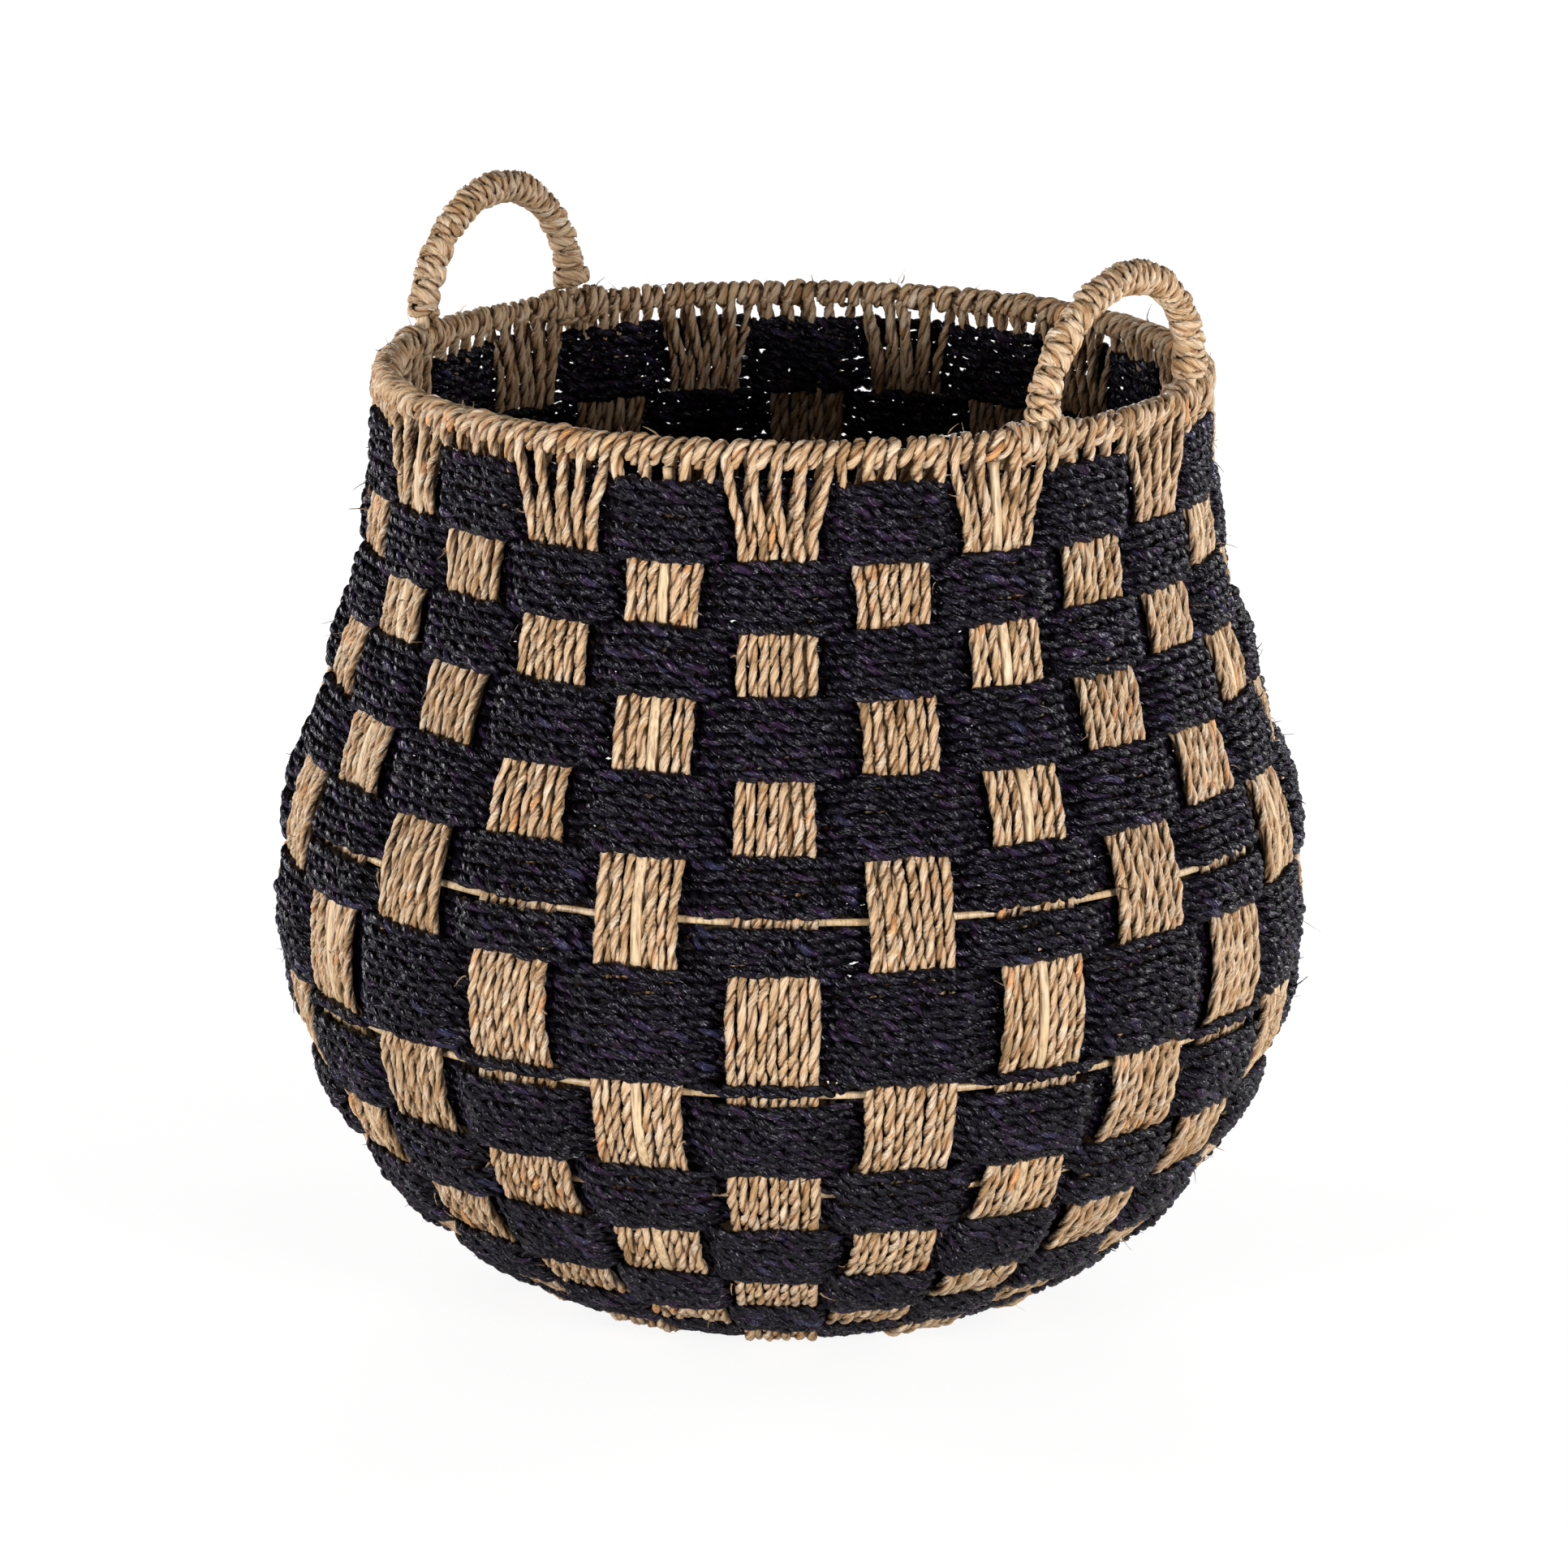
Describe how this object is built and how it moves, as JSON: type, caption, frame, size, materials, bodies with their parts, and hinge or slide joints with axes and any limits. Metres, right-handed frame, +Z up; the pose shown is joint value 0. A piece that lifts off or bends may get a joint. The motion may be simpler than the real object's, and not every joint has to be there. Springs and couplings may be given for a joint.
{
  "type": "storage basket",
  "caption": "Round-bellied basket with a narrower neck, checked over-and-under weave of natural and black cord, a cord-bound rim and small arched handles.",
  "frame": {"origin": "middle of the underside of the base", "axes": "+Z up, the two handles on the X axis, +X towards the right handle"},
  "size_m": [0.4366, 0.4366, 0.455],
  "materials": {
    "natural_seagrass": "matt straw-coloured twisted seagrass cord",
    "black_seagrass": "dyed blue-black twisted seagrass cord with a soft sheen",
    "cane": "pale smooth split cane"
  },
  "bodies": {
    "root": {"stake_1": "natural_seagrass", "stake_2": "natural_seagrass", "stake_3": "natural_seagrass", "stake_4": "natural_seagrass", "stake_5": "natural_seagrass", "stake_6": "natural_seagrass", "stake_7": "natural_seagrass", "stake_8": "natural_seagrass", "stake_9": "natural_seagrass", "stake_10": "natural_seagrass", "stake_11": "natural_seagrass", "stake_12": "natural_seagrass", "stake_13": "natural_seagrass", "stake_14": "natural_seagrass", "stake_15": "natural_seagrass", "stake_16": "natural_seagrass", "stake_17": "natural_seagrass", "stake_18": "natural_seagrass", "stake_19": "natural_seagrass", "stake_20": "natural_seagrass", "stake_21": "natural_seagrass", "stake_22": "natural_seagrass", "stake_23": "natural_seagrass", "stake_24": "natural_seagrass", "weft_band_1": "black_seagrass", "weft_band_2": "black_seagrass", "weft_band_3": "black_seagrass", "weft_band_4": "black_seagrass", "weft_band_5": "black_seagrass", "weft_band_6": "black_seagrass", "weft_band_7": "black_seagrass", "weft_band_8": "black_seagrass", "weft_band_9": "black_seagrass", "weft_band_10": "black_seagrass", "weft_band_11": "black_seagrass", "weft_band_12": "black_seagrass", "weft_band_13": "black_seagrass", "cane_rib_1": "cane", "cane_rib_2": "cane", "cane_rib_3": "cane", "cane_rib_4": "cane", "cane_rib_5": "cane", "cane_rib_6": "cane", "cane_rib_7": "cane", "cane_rib_8": "cane", "cane_hoop_1": "cane", "cane_hoop_2": "cane", "cane_hoop_3": "cane", "rim_hoop": "cane", "rim_wrapping": "natural_seagrass", "base_strips_lengthways": "natural_seagrass", "base_strips_crossways": "natural_seagrass", "handle_core_left": "cane", "handle_wrapping_left": "natural_seagrass", "handle_foot_binding_left": "natural_seagrass", "handle_core_right": "cane", "handle_wrapping_right": "natural_seagrass", "handle_foot_binding_right": "natural_seagrass"}
  },
  "joints": []
}
